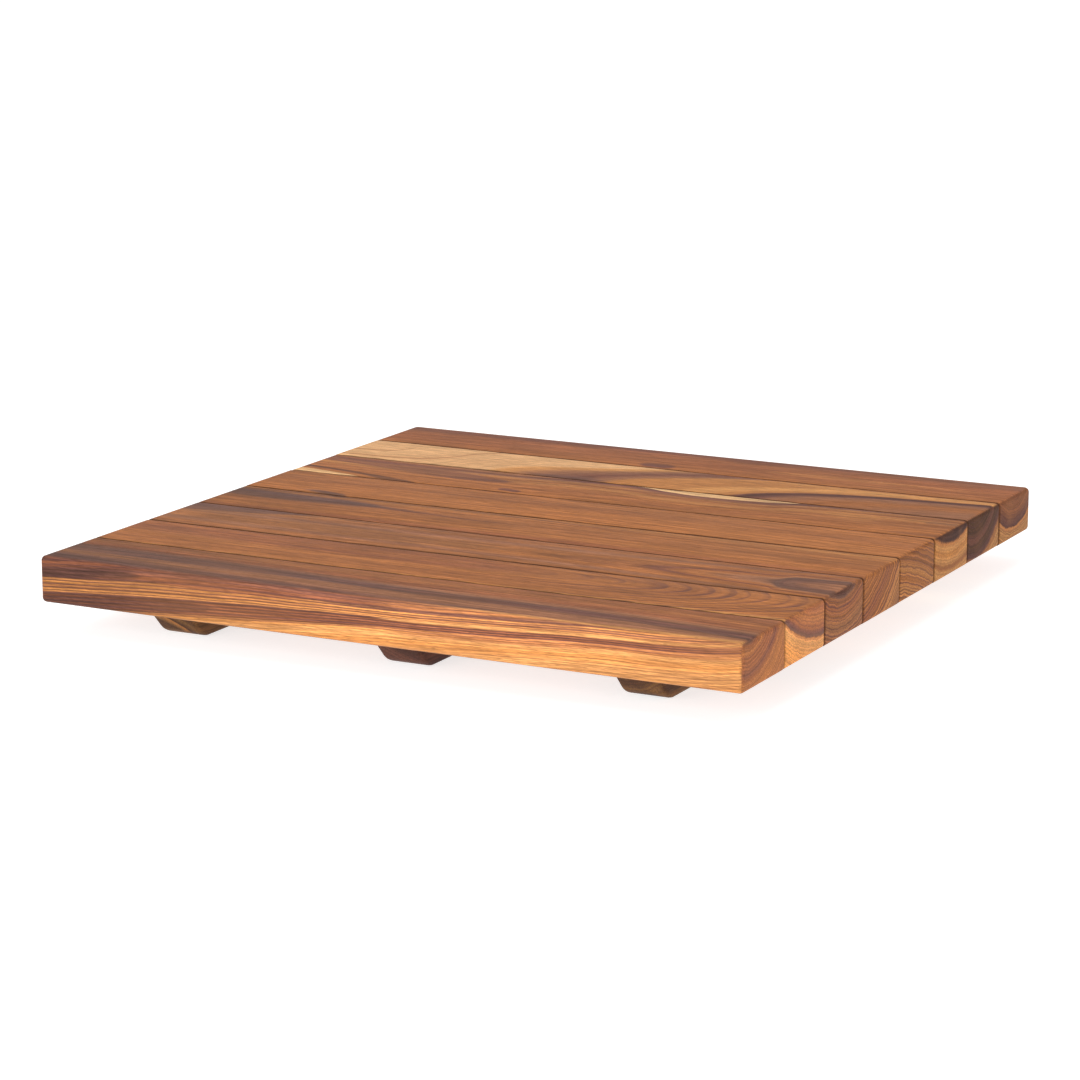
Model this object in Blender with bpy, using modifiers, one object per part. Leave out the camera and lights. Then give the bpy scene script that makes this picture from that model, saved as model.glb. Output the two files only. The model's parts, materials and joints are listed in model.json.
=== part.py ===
"""Square teak bath mat: eight slats side by side on three cross battens, screwed together from below.

The frame is in metres with +Z up. The slats run along X and the battens along Y, the front of the mat
faces -Y, and the origin is under the mat's centre, on the surface that the battens stand on.
"""

import math

import bmesh
import bpy
from mathutils import Matrix

# Slats
SLAT_COUNT = 8
SLAT_LENGTH = 0.457
SLAT_WIDTH = 0.0567
SLAT_THICKNESS = 0.0285
SLAT_GAP = 0.0005           # hairline joint between neighbours
OUTER_ROUNDING = 0.003      # edges around the outside of the mat
JOINT_ROUNDING = 0.0016     # edges that face a neighbouring slat

# Battens
BATTEN_NAMES = ("left", "centre", "right")
BATTEN_WIDTH = 0.0285
BATTEN_HEIGHT = 0.02
BATTEN_INSET = 0.0755       # from a slat's end to the middle of the outer batten
BATTEN_OUTER_SEAT = 0.0102  # flat underside that lies below the first and the last slat
BATTEN_CHAMFER = 0.0145     # 45 degree cut under each end
BATTEN_FOOT_ROUNDING = 0.007    # where the cut meets the underside
BATTEN_ROUNDING = 0.0025
SEAT_GAP = 0.0003           # between the battens and the slats that lie on them

# Countersunk wood screws, one at each crossing, driven from below
SCREW_LENGTH = 0.035
SCREW_DIAMETER = 0.004
SCREW_HEAD_DIAMETER = 0.0078
SCREW_HEAD_RIM = 0.0003
SCREW_POINT_LENGTH = 0.005
SCREW_RECESS = 0.002        # head's face above the batten's underside
SCREW_CLEARANCE = 0.0003
DRIVE_WIDTH = 0.0023        # square socket in the head
DRIVE_DEPTH = 0.0018

BEVEL_SEGMENTS = 3
TURNED_SEGMENTS = 16
MERGE_DISTANCE = 0.00001
CUT_OVERRUN = 0.001         # a cutter starts this far outside what it cuts

SLAT_PITCH = SLAT_WIDTH + SLAT_GAP
MAT_DEPTH = SLAT_COUNT * SLAT_PITCH - SLAT_GAP
SLAT_UNDERSIDE = BATTEN_HEIGHT + SEAT_GAP
BATTEN_FLAT_LENGTH = MAT_DEPTH - 2 * (SLAT_WIDTH - BATTEN_OUTER_SEAT)
BATTEN_LENGTH = BATTEN_FLAT_LENGTH + 2 * (BATTEN_CHAMFER + BATTEN_FOOT_ROUNDING)
BATTEN_OFFSET = SLAT_LENGTH / 2 - BATTEN_INSET


def empty_scene():
    for thing in list(bpy.data.objects):
        bpy.data.objects.remove(thing, do_unlink=True)


def new_collection(name):
    collection = bpy.data.collections.new(name)
    bpy.context.scene.collection.children.link(collection)
    return collection


def new_material(name, colour, roughness, metallic=0.0):
    material = bpy.data.materials.new(name)
    material.use_nodes = True
    shader = material.node_tree.nodes["Principled BSDF"]
    shader.inputs["Base Color"].default_value = (*colour, 1.0)
    shader.inputs["Roughness"].default_value = roughness
    shader.inputs["Metallic"].default_value = metallic
    return material


def new_object(name, mesh, collection, location=(0.0, 0.0, 0.0)):
    thing = bpy.data.objects.new(name, mesh)
    thing.location = location
    collection.objects.link(thing)
    return thing


def middle_of(vertices):
    start, end = vertices
    return (start.co + end.co) / 2


def box_mesh(name, length, width, height, chamfer=0.0):
    """A box centred on its origin. A chamfer cuts the edges under its two ends along Y."""
    mesh = bpy.data.meshes.new(name)
    shape = bmesh.new()
    bmesh.ops.create_cube(shape, size=1.0, matrix=Matrix.Diagonal((length, width, height, 1.0)))
    if chamfer:
        under_ends = [edge for edge in shape.edges
                      if middle_of(edge.verts).z < -height / 4 and abs(middle_of(edge.verts).y) > width / 4]
        bmesh.ops.bevel(shape, geom=under_ends, offset=chamfer, offset_type="OFFSET", segments=1, profile=0.5,
                        affect="EDGES")
    shape.to_mesh(mesh)
    shape.free()
    return mesh


def weight_edges(mesh, weight_of):
    """Give each edge the bevel weight that weight_of returns for its middle."""
    weights = mesh.attributes.new("bevel_weight_edge", "FLOAT", "EDGE")
    for edge in mesh.edges:
        weights.data[edge.index].value = weight_of(middle_of([mesh.vertices[index] for index in edge.vertices]))


def add_bevel(thing, name, width, segments, limit):
    bevel = thing.modifiers.new(name, "BEVEL")
    bevel.width = width
    bevel.segments = segments
    bevel.limit_method = limit
    bevel.angle_limit = math.radians(30)


def add_screw_ways(thing, cutters):
    holes = thing.modifiers.new("screw_ways", "BOOLEAN")
    holes.operation = "DIFFERENCE"
    holes.operand_type = "COLLECTION"
    holes.collection = cutters


def smooth(mesh):
    mesh.shade_smooth()
    mesh.set_sharp_from_angle(angle=math.radians(30))


def turned_object(name, profile, collection):
    """A solid turned about Z from (radius, height) points that run down its outer side."""
    mesh = bpy.data.meshes.new(name)
    mesh.from_pydata([(radius, 0.0, height) for radius, height in profile],
                     [(index, index + 1) for index in range(len(profile) - 1)], [])
    thing = new_object(name, mesh, collection)
    turn = thing.modifiers.new("turn", "SCREW")
    turn.steps = TURNED_SEGMENTS
    turn.render_steps = TURNED_SEGMENTS
    turn.use_merge_vertices = True
    turn.merge_threshold = MERGE_DISTANCE
    return thing


def finished_mesh(thing, name):
    """The mesh that an object's modifiers make, for copies to share. The object is removed."""
    bpy.context.view_layer.update()
    evaluated = thing.evaluated_get(bpy.context.evaluated_depsgraph_get())
    mesh = bpy.data.meshes.new_from_object(evaluated)
    mesh.name = name
    bpy.data.objects.remove(thing, do_unlink=True)
    return mesh


def screw_mesh(collection):
    """A countersunk screw, head down, with its head's face at z = 0."""
    head_radius = SCREW_HEAD_DIAMETER / 2
    shank_radius = SCREW_DIAMETER / 2
    cone_top = SCREW_HEAD_RIM + head_radius - shank_radius
    screw = turned_object("screw_blank", (
        (0.0, SCREW_LENGTH),
        (shank_radius, SCREW_LENGTH - SCREW_POINT_LENGTH),
        (shank_radius, cone_top),
        (head_radius, SCREW_HEAD_RIM),
        (head_radius, 0.0),
        (0.0, 0.0),
    ), collection)
    socket_height = DRIVE_DEPTH + CUT_OVERRUN
    socket = new_object("drive_socket", box_mesh("drive_socket", DRIVE_WIDTH, DRIVE_WIDTH, socket_height),
                        collection, (0.0, 0.0, DRIVE_DEPTH - socket_height / 2))
    cut = screw.modifiers.new("drive", "BOOLEAN")
    cut.operation = "DIFFERENCE"
    cut.object = socket
    mesh = finished_mesh(screw, "screw")
    bpy.data.objects.remove(socket, do_unlink=True)
    smooth(mesh)
    return mesh


def screw_way_mesh(collection):
    """The hole that a screw lies in: its outline, larger by the clearance and open below."""
    way_radius = SCREW_DIAMETER / 2 + SCREW_CLEARANCE
    sink_radius = SCREW_HEAD_DIAMETER / 2 + SCREW_CLEARANCE
    cone_rise = SCREW_CLEARANCE * (math.sqrt(2) - 1)
    sink_top = SCREW_HEAD_RIM + cone_rise
    way = turned_object("way_blank", (
        (0.0, SCREW_LENGTH + SCREW_CLEARANCE),
        (way_radius, SCREW_LENGTH + SCREW_CLEARANCE),
        (way_radius, sink_top + sink_radius - way_radius),
        (sink_radius, sink_top),
        (sink_radius, -SCREW_RECESS - CUT_OVERRUN),
        (0.0, -SCREW_RECESS - CUT_OVERRUN),
    ), collection)
    return finished_mesh(way, "screw_way")


def slat_centre_y(row):
    """Rows count from the front of the mat to its back."""
    return (row - (SLAT_COUNT - 1) / 2) * SLAT_PITCH


def screw_y(row):
    """The middle of the stretch where a batten's flat underside lies below this slat."""
    front = max(slat_centre_y(row) - SLAT_WIDTH / 2, -BATTEN_FLAT_LENGTH / 2)
    back = min(slat_centre_y(row) + SLAT_WIDTH / 2, BATTEN_FLAT_LENGTH / 2)
    return (front + back) / 2


def batten_centre_x(column):
    return (column - (len(BATTEN_NAMES) - 1) / 2) * BATTEN_OFFSET


def make_slat(row, material, collection, cutters):
    mesh = box_mesh(f"slat_{row + 1}", SLAT_LENGTH, SLAT_WIDTH, SLAT_THICKNESS)
    mesh.materials.append(material)
    joint_weight = JOINT_ROUNDING / OUTER_ROUNDING

    def weight_of(middle):
        faces_front_joint = middle.y < -SLAT_WIDTH / 4 and row > 0
        faces_back_joint = middle.y > SLAT_WIDTH / 4 and row < SLAT_COUNT - 1
        return joint_weight if faces_front_joint or faces_back_joint else 1.0

    weight_edges(mesh, weight_of)
    slat = new_object(mesh.name, mesh, collection,
                      (0.0, slat_centre_y(row), SLAT_UNDERSIDE + SLAT_THICKNESS / 2))
    add_bevel(slat, "rounding", OUTER_ROUNDING, BEVEL_SEGMENTS, "WEIGHT")
    add_screw_ways(slat, cutters)
    return slat


def make_batten(column, material, collection, cutters):
    mesh = box_mesh(f"batten_{BATTEN_NAMES[column]}", BATTEN_WIDTH, BATTEN_LENGTH, BATTEN_HEIGHT, BATTEN_CHAMFER)
    mesh.materials.append(material)
    cut_underside = BATTEN_HEIGHT / 2 - MERGE_DISTANCE

    def weight_of(middle):
        """1 on the two edges across the batten where a cut meets the underside."""
        across = abs(middle.x) < BATTEN_WIDTH / 4 and middle.z < -cut_underside
        return 1.0 if across else 0.0

    weight_edges(mesh, weight_of)
    batten = new_object(mesh.name, mesh, collection, (batten_centre_x(column), 0.0, BATTEN_HEIGHT / 2))
    add_bevel(batten, "foot_rounding", BATTEN_FOOT_ROUNDING, BEVEL_SEGMENTS, "WEIGHT")
    add_bevel(batten, "rounding", BATTEN_ROUNDING, BEVEL_SEGMENTS - 1, "ANGLE")
    add_screw_ways(batten, cutters)
    return batten


def build():
    empty_scene()
    mat = new_collection("bath_mat")
    cutters = new_collection("bath_mat_cutters")
    slat_teak = new_material("teak_slats", (0.36, 0.15, 0.065), 0.5)
    batten_teak = new_material("teak_battens", (0.27, 0.11, 0.05), 0.55)
    stainless = new_material("stainless_screws", (0.62, 0.61, 0.59), 0.3, 1.0)

    screw = screw_mesh(mat)
    screw.materials.append(stainless)
    screw_way = screw_way_mesh(cutters)

    parts = []
    for column, batten_name in enumerate(BATTEN_NAMES):
        for row in range(SLAT_COUNT):
            seat = (batten_centre_x(column), screw_y(row), SCREW_RECESS)
            parts.append(new_object(f"screw_{batten_name}_{row + 1}", screw, mat, seat))
            cutter = new_object(f"cut_{batten_name}_{row + 1}", screw_way, cutters, seat)
            cutter.hide_render = True
            cutter.display_type = "WIRE"
    parts += [make_slat(row, slat_teak, mat, cutters) for row in range(SLAT_COUNT)]
    parts += [make_batten(column, batten_teak, mat, cutters) for column in range(len(BATTEN_NAMES))]

    centre = new_object("bath_mat", None, mat)
    for part in parts:
        part.parent = centre


build()
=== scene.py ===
import json
import math

import bmesh
import bpy
from mathutils import Matrix, Vector

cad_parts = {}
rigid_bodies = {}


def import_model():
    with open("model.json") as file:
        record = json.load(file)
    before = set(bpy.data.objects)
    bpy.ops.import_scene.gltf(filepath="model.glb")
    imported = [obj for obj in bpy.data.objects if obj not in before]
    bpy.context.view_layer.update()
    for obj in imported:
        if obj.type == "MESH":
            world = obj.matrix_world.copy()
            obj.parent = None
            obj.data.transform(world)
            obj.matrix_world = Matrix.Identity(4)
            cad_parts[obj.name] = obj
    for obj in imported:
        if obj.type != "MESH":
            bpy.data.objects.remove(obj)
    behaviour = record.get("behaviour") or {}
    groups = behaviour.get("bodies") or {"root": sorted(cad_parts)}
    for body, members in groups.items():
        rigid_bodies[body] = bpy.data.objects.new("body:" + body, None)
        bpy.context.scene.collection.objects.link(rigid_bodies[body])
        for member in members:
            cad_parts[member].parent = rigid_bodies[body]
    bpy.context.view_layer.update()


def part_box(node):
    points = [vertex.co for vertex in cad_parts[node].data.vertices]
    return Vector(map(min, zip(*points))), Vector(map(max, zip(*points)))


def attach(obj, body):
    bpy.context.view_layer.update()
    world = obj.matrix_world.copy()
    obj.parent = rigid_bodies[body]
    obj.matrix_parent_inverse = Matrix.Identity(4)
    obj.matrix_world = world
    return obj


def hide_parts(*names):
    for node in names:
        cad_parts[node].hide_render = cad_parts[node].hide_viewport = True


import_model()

SLAT_COUNT = 8
BATTENS = ("left", "centre", "right")
BATTEN_SEED = 20            # the slats' seeds are 1 to 8
MM = 0.001
ON_FACE = 0.01 * MM         # nearer than this is on the face

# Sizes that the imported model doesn't state, in metres
OUTER_ROUNDING = 0.003
JOINT_ROUNDING = 0.0016
BATTEN_CHAMFER = 0.0145
BATTEN_FOOT_ROUNDING = 0.007
BATTEN_ROUNDING = 0.0025
ROUNDING_SEGMENTS = 6
BATTEN_ROUNDING_SEGMENTS = 4
ROUNDED_FROM = 30           # degrees between two faces

SCREW_SHANK = 0.004         # over its thread
SCREW_POINT_LENGTH = 0.005
HEAD_RIM = 0.0003           # height of the head's straight side
HEAD_FACE_EDGE = 0.0004     # how far inside the rim the flat face stops
HEAD_CORNER = 0.0001        # how far the rim's lower corner is cut
NECK_WIDTH = 1.3            # where the head's cone turns into the shank, as a part of the shank
THREAD_START = 0.003        # from the head's cone
THREAD_ROOT_START = 0.0004
THREAD_DEPTH = 0.0005
THREAD_PITCH = 0.0022
THREAD_FLANK = 2.4          # how steeply the thread falls from its crest
DRIVE_WIDTH = 0.0023        # square socket
DRIVE_DEPTH = 0.0018
DRIVE_LIP = 0.0002
DRIVE_TIP = 0.95            # how deep its hollow floor reaches, as a part of its depth
DRIVE_TAPER = ((0.86, 0.9), (0.92, 0.8))    # (parts of its half width, of its depth) on the way out
DRIVE_RIM = 1.1             # the socket's broken edge and the flat around it, as parts of its half width
DRIVE_FLAT = 2.1

SCREW_CLEARANCE = 0.0003
SCREW_WAY_RIM = 0.0004      # height of the way's straight side around the head
SCREW_WAY_BELOW = 0.003     # how far the cutter reaches out under the batten

RING_POINTS = 24
THREAD_RINGS = 64
POINT_RINGS = 8
POINT_BLUNTNESS = 0.8

WOOD_SMOOTHED_TO = 35       # degrees between two faces
SCREW_SMOOTHED_TO = 40


# ---- colours

def linear(colour):
    """An sRGB colour with channels from 0 to 255 as linear light."""
    channels = (channel / 255 for channel in colour)
    return tuple(c / 12.92 if c <= 0.04045 else ((c + 0.055) / 1.055) ** 2.4 for c in channels) + (1.0,)


def grey(level):
    return (level, level, level, 1.0)


COLOURS = {
    "heart": (160, 100, 58),
    "warm": (170, 106, 58),
    "red": (152, 92, 58),
    "dull": (148, 98, 62),
    "tan": (186, 124, 70),
    "rust": (150, 88, 56),
    "amber": (206, 136, 72),
    "orange": (198, 128, 74),
    "gold": (208, 146, 86),
    "blond": (226, 174, 122),
    "pale": (238, 190, 134),
    "loop": (178, 122, 80),
    "purple": (122, 76, 60),
    "plum": (104, 66, 58),
    "dark": (80, 52, 44),
    "grey": (100, 72, 62),
    "clay": (148, 100, 72),
    "mist": (108, 76, 66),
    "olive": (140, 98, 56),
    "umber": (92, 60, 38),
    # painted shade and grime beside the joints
    "shade_and_grime": (62, 38, 26),
}


# ---- shader graphs

# A Mix node has sockets for every data type: these are the factor and the colours
MIX_INPUTS = (0, 6, 7)
MIX_RESULT = 2

# Each seed moves the noise this far from the one before
SEED_SHIFT = (7.31, 3.17, 5.93)
LINE_SEED_SHIFT = 11.7


class Graph:
    """A material whose nodes are added by short calls."""

    def __init__(self, name):
        self.material = bpy.data.materials.new(name)
        self.material.use_nodes = True
        self.tree = self.material.node_tree
        self.shader = self.tree.nodes["Principled BSDF"]

    def node(self, kind, **settings):
        node = self.tree.nodes.new("ShaderNode" + kind)
        for key, value in settings.items():
            setattr(node, key, value)
        return node

    def feed(self, socket, value):
        if isinstance(value, bpy.types.NodeSocket):
            self.tree.links.new(value, socket)
        else:
            socket.default_value = value

    def math(self, operation, *values, clamp=False):
        node = self.node("Math", operation=operation, use_clamp=clamp)
        for socket, value in zip(node.inputs, values):
            self.feed(socket, value)
        return node.outputs[0]

    def vector(self, operation, *values):
        node = self.node("VectorMath", operation=operation)
        sockets = [node.inputs[0], node.inputs["Scale"]] if operation == "SCALE" else node.inputs
        for socket, value in zip(sockets, values):
            self.feed(socket, value)
        return node.outputs["Value"] if operation == "LENGTH" else node.outputs[0]

    def mix(self, factor, first, second, blend="MIX"):
        node = self.node("Mix", data_type="RGBA", blend_type=blend)
        for socket, value in zip(MIX_INPUTS, (factor, first, second)):
            self.feed(node.inputs[socket], value)
        return node.outputs[MIX_RESULT]

    def bump(self, height, strength, distance):
        node = self.node("Bump")
        node.inputs["Strength"].default_value = strength
        node.inputs["Distance"].default_value = distance
        self.feed(node.inputs["Height"], height)
        self.feed(self.shader.inputs["Normal"], node.outputs[0])

    def split(self, value):
        node = self.node("SeparateXYZ")
        self.feed(node.inputs[0], value)
        return tuple(node.outputs)

    def step(self, value, low, high, start=0.0, end=1.0):
        """A smooth change from start to end as value goes from low to high."""
        node = self.node("MapRange", interpolation_type="SMOOTHSTEP")
        for socket, number in zip(node.inputs, (value, low, high, start, end)):
            self.feed(socket, number)
        return node.outputs[0]

    def noise(self, place, size, seed, detail=2.0, roughness=0.5):
        """Noise from 0 to 1 whose features are about size millimetres long, wide and deep."""
        stretched = self.vector("MULTIPLY", place, tuple(1 / length for length in size))
        moved = self.vector("ADD", stretched, tuple(seed * shift for shift in SEED_SHIFT))
        node = self.node("TexNoise")
        self.feed(node.inputs["Vector"], moved)
        self.feed(node.inputs["Scale"], 1.0)
        self.feed(node.inputs["Detail"], detail)
        self.feed(node.inputs["Roughness"], roughness)
        return node.outputs[0]

    def line_noise(self, value, size, seed, detail=1.0):
        """Noise from 0 to 1 along one value, with features about size long."""
        node = self.node("TexNoise", noise_dimensions="1D")
        self.feed(node.inputs["W"], self.math("MULTIPLY_ADD", value, 1 / size, seed * LINE_SEED_SHIFT))
        self.feed(node.inputs["Scale"], 1.0)
        self.feed(node.inputs["Detail"], detail)
        return node.outputs[0]

    def curve(self, along, points):
        """A smooth curve through (fraction of the length, value) points."""
        values = [value for _, value in points]
        low, high = min(values) - 1, max(values) + 1
        node = self.node("FloatCurve")
        self.feed(node.inputs["Value"], along)
        line = node.mapping.curves[0]
        while len(line.points) < len(points):
            line.points.new(0.5, 0.5)
        for point, (fraction, value) in zip(line.points, points):
            point.location = (fraction, (value - low) / (high - low))
        node.mapping.update()
        return self.math("MULTIPLY_ADD", node.outputs[0], high - low, low)

    def bands(self, value, stops):
        """Colours along one value, from (value, colour name) stops."""
        low, high = stops[0][0], stops[-1][0]
        node = self.node("ValToRGB")
        node.color_ramp.interpolation = "EASE"
        elements = node.color_ramp.elements
        while len(elements) < len(stops):
            elements.new(0.5)
        for element, (place, name) in zip(elements, stops):
            element.position = (place - low) / (high - low)
            element.color = linear(COLOURS[name])
        self.feed(node.inputs[0], self.math("DIVIDE", self.math("SUBTRACT", value, low), high - low))
        return node.outputs[0]


# ---- wood

# How long, wide and deep the features of each noise are, in millimetres
SWING_SIZE = (110, 26, 26)
RIPPLE_SIZE = (26, 7, 7)
TONE_SIZE = (150, 6.0, 1)
LAYER_LENGTH = 70
FAINT_SIZE = (70, 12, 12)
RIBBON_SIZE = (75, 3.2, 3.2)
STIR_SIZE = (60, 9, 9)
SPECKLE_SIZE = (3.0, 0.5, 0.5)
FIBRE_SIZE = (30, 0.9, 0.9)
HAIR_SIZE = (7, 0.5, 0.5)
PORE_SIZE = (6, 0.42, 0.42)
CAST_SIZE = (120, 16, 16)
RAGGED_SIZE = (14, 3, 3)
END_LAYER_SIZE = 1.6

# The noise values between which each starts and is complete
SHADE_RANGE = (0.25, 0.75)
TONE_RANGE = (0.42, 0.7)
FAINT_RANGE = (0.3, 0.7)
PORE_RANGE = (0.64, 0.74)
CAST_RANGE = (0.35, 0.7)

# Where the yearly lines are faintest, as parts of their strength
FAINTEST_LINES = 0.4
UNRINGED_LINES = 0.3
DEEP_FRONT_LINES = 0.4

# Strengths
SPECKLE = 0.14
FIBRE = 0.32
HAIR = 0.2
PORES = 0.4

# How far the layers wander, in millimetres
RIPPLE = 1.6
END_STIR = 4.0              # across
END_RIPPLE = 3.0            # up and down

# Each year's dark line starts and is darkest at these parts of the year, and the years vary in width
YEAR_ONSET = 0.45
YEAR_PEAK = 0.88
YEAR_UNEVENNESS = 1.6
YEAR_UNEVEN_LENGTH = 2.3

# Painted shade and grime beside the joints, in millimetres from them, and its strength
SHADE_AND_GRIME_REACH = 1.5
SHADE_AND_GRIME_FULL = 0.6
SHADE_AND_GRIME_RAGGEDNESS = 1.2
SHADE_AND_GRIME = 0.85
SHADE_AND_GRIME_LOST_ON_END = 0.5

# The parts of the normal between which a rounded edge turns into the front or an end
FRONT_NORMAL = (-0.75, -0.35)
END_NORMAL = (0.4, 0.8)

WOOD_SPECULAR = 0.1
WOOD_ROUGHNESS = 0.46
FIBRE_ROUGHNESS = 0.16
PORE_ROUGHNESS = 0.2
END_ROUGHNESS = 0.12
FIBRE_RELIEF = 0.6
PORE_RELIEF = -1.0
LINE_RELIEF = -0.5
RELIEF_STRENGTH = 0.6
RELIEF_HEIGHT = 0.00012     # metres

# What a look may leave out
LAYER_DEFAULTS = {"streaks": (), "layers": 0.3, "layer_size": 2.4, "spacing": 2.6, "onset": YEAR_ONSET}
BOARD_DEFAULTS = {"slant": 0.8, "swing": 5.0, "ribbon": 0.3, "cast": 0.25}
END_DEFAULTS = {"painted_light": 1.0, "layers": 0.25, "spacing": 2.0, "lines": 0.65}


def arch_field(g, along, across, centre, arch):
    """Growth layers cut by the face in nested arches: the distance from a pith line that dips and climbs."""
    side = g.math("SUBTRACT", across, centre)
    rise = g.curve(along, arch)
    return g.math("SQRT", g.math("ADD", g.math("MULTIPLY", side, side), g.math("MULTIPLY", rise, rise)))


def flow_field(g, along, across, course, spread=((0.0, 1.0), (1.0, 1.0))):
    """Growth layers that run along the board beside a course, packed closer where spread is small."""
    offset = g.math("SUBTRACT", across, g.curve(along, course))
    return g.math("DIVIDE", offset, g.curve(along, spread))


def ring_lines(g, field, spacing, seed, onset=YEAR_ONSET):
    """Thin dark lines, one for each year's growth, at uneven distances. 1 on a line and 0 between."""
    drift = g.line_noise(field, spacing * YEAR_UNEVEN_LENGTH, seed)
    uneven = g.math("MULTIPLY_ADD", drift, spacing * YEAR_UNEVENNESS, field)
    year = g.math("FRACT", g.math("DIVIDE", uneven, spacing))
    rise = g.step(year, onset, YEAR_PEAK)
    fall = g.step(year, YEAR_PEAK, 1.0, 1.0, 0.0)
    return g.math("MULTIPLY", rise, fall)


def streak(g, along, across, course, width, soft):
    """1 inside a streak that follows a course with a changing half width, 0 outside, in millimetres."""
    off = g.math("ABSOLUTE", g.math("SUBTRACT", across, g.curve(along, course)))
    room = g.math("SUBTRACT", g.curve(along, width), off)
    return g.step(room, -soft, soft)


def shade(g, colour, value, amount):
    """The colour made up to amount darker or lighter by a value from 0 to 1."""
    return g.mix(1.0, colour, g.step(value, *SHADE_RANGE, 1.0 - amount, 1.0 + amount), "MULTIPLY")


def layered(g, x, along, across, field, look, seed):
    """Wood seen along its grain: broad bands, stained streaks, and the fine layers of each year.
    Returns its colour and its yearly lines."""
    colour = g.bands(field, look["bands"])
    flow = g.node("CombineXYZ")
    g.feed(flow.inputs[0], x)
    g.feed(flow.inputs[1], field)
    tone = g.noise(flow.outputs[0], TONE_SIZE, seed, 3.0, 0.6)
    colour = g.mix(g.step(tone, *TONE_RANGE, 0.0, look["tone"]), colour, linear(COLOURS["red"]))
    for course, half_width, soft, stain, strength in look["streaks"]:
        mask = streak(g, along, across, course, half_width, soft)
        colour = g.mix(g.math("MULTIPLY", mask, strength), colour, linear(COLOURS[stain]))
    layers = g.noise(flow.outputs[0], (LAYER_LENGTH, look["layer_size"], 1), seed + 3, 4.0, 0.7)
    colour = shade(g, colour, layers, look["layers"])
    return colour, ring_lines(g, field, look["spacing"], seed + 5, look["onset"])


def long_faces(g, board, place, x, along, across, seed):
    """The colour and the yearly lines of the faces along the grain."""
    if "arch" in board:
        field = arch_field(g, along, across, board["centre"], board["arch"])
    else:
        field = flow_field(g, along, across, board["course"])
    colour, lines = layered(g, x, along, across, field, board, seed + 2)
    faint = g.noise(place, FAINT_SIZE, seed + 4)
    strength = board["lines"]
    lines = g.math("MULTIPLY", lines, g.step(faint, *FAINT_RANGE, strength * FAINTEST_LINES, strength))
    if "ringed" in board:
        lines = g.math("MULTIPLY", lines, g.step(along, *board["ringed"], UNRINGED_LINES, 1.0))
    colour = g.mix(lines, colour, linear(COLOURS["plum"]))
    ribbon = g.noise(place, RIBBON_SIZE, seed + 11, 4.0, 0.75)
    return shade(g, colour, ribbon, board["ribbon"]), lines


def front_face(g, skin, x, along, depth, wobble, seed):
    """The colour of a front face with a look of its own."""
    sunk = g.math("ADD", depth, g.math("MULTIPLY", wobble, skin["wobble"]))
    field = flow_field(g, along, sunk, skin["course"], skin["spread"])
    colour, lines = layered(g, x, along, sunk, field, skin, seed)
    strength = skin["lines"]
    lines = g.math("MULTIPLY", lines, g.step(field, *skin["fade"], strength, strength * DEEP_FRONT_LINES))
    colour = g.mix(lines, colour, linear(COLOURS["plum"]))
    return g.mix(1.0, colour, g.curve(along, skin["light"]), "MULTIPLY")


def end_grain(g, end, place, y, z, ripple, seed):
    """The colour of an end face: rings around a centre that may lie outside it."""
    centre_y, centre_z = end["centre"]
    stir = g.math("MULTIPLY", g.math("SUBTRACT", g.noise(place, STIR_SIZE, seed + 12), 0.5), END_STIR)
    around = g.node("CombineXYZ")
    g.feed(around.inputs[1], g.math("ADD", g.math("SUBTRACT", y, centre_y), stir))
    g.feed(around.inputs[2], g.math("MULTIPLY_ADD", ripple, END_RIPPLE, g.math("SUBTRACT", z, centre_z)))
    radius = g.vector("LENGTH", around.outputs[0])
    colour = g.bands(radius, end["bands"])
    colour = shade(g, colour, g.line_noise(radius, END_LAYER_SIZE, seed + 13, 3.0), end["layers"])
    lines = g.math("MULTIPLY", ring_lines(g, radius, end["spacing"], seed + 6), end["lines"])
    colour = g.mix(lines, colour, linear(COLOURS["plum"]))
    colour = shade(g, colour, g.noise(place, SPECKLE_SIZE, seed + 14, 2.0, 0.6), SPECKLE)
    # painted light: the end is made brighter or darker by a factor, brighter on the front slats' ends and
    # darker on the back ones
    return g.mix(1.0, colour, grey(end["painted_light"]), "MULTIPLY")


def shaded_and_grimed(g, colour, y, width, ragged, on_end, joints):
    """The colour with a dark edge of painted shade and grime along each joint, fainter on the ends."""
    kept = g.math("MULTIPLY_ADD", on_end, -SHADE_AND_GRIME_LOST_ON_END, 1.0)
    for side in joints:
        towards = g.math("MULTIPLY_ADD", y, side, ragged)
        edge = g.step(towards, width / 2 - SHADE_AND_GRIME_REACH, width / 2 - SHADE_AND_GRIME_FULL, 0.0, SHADE_AND_GRIME)
        colour = g.mix(g.math("MULTIPLY", edge, kept), colour, linear(COLOURS["shade_and_grime"]))
    return colour


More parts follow.
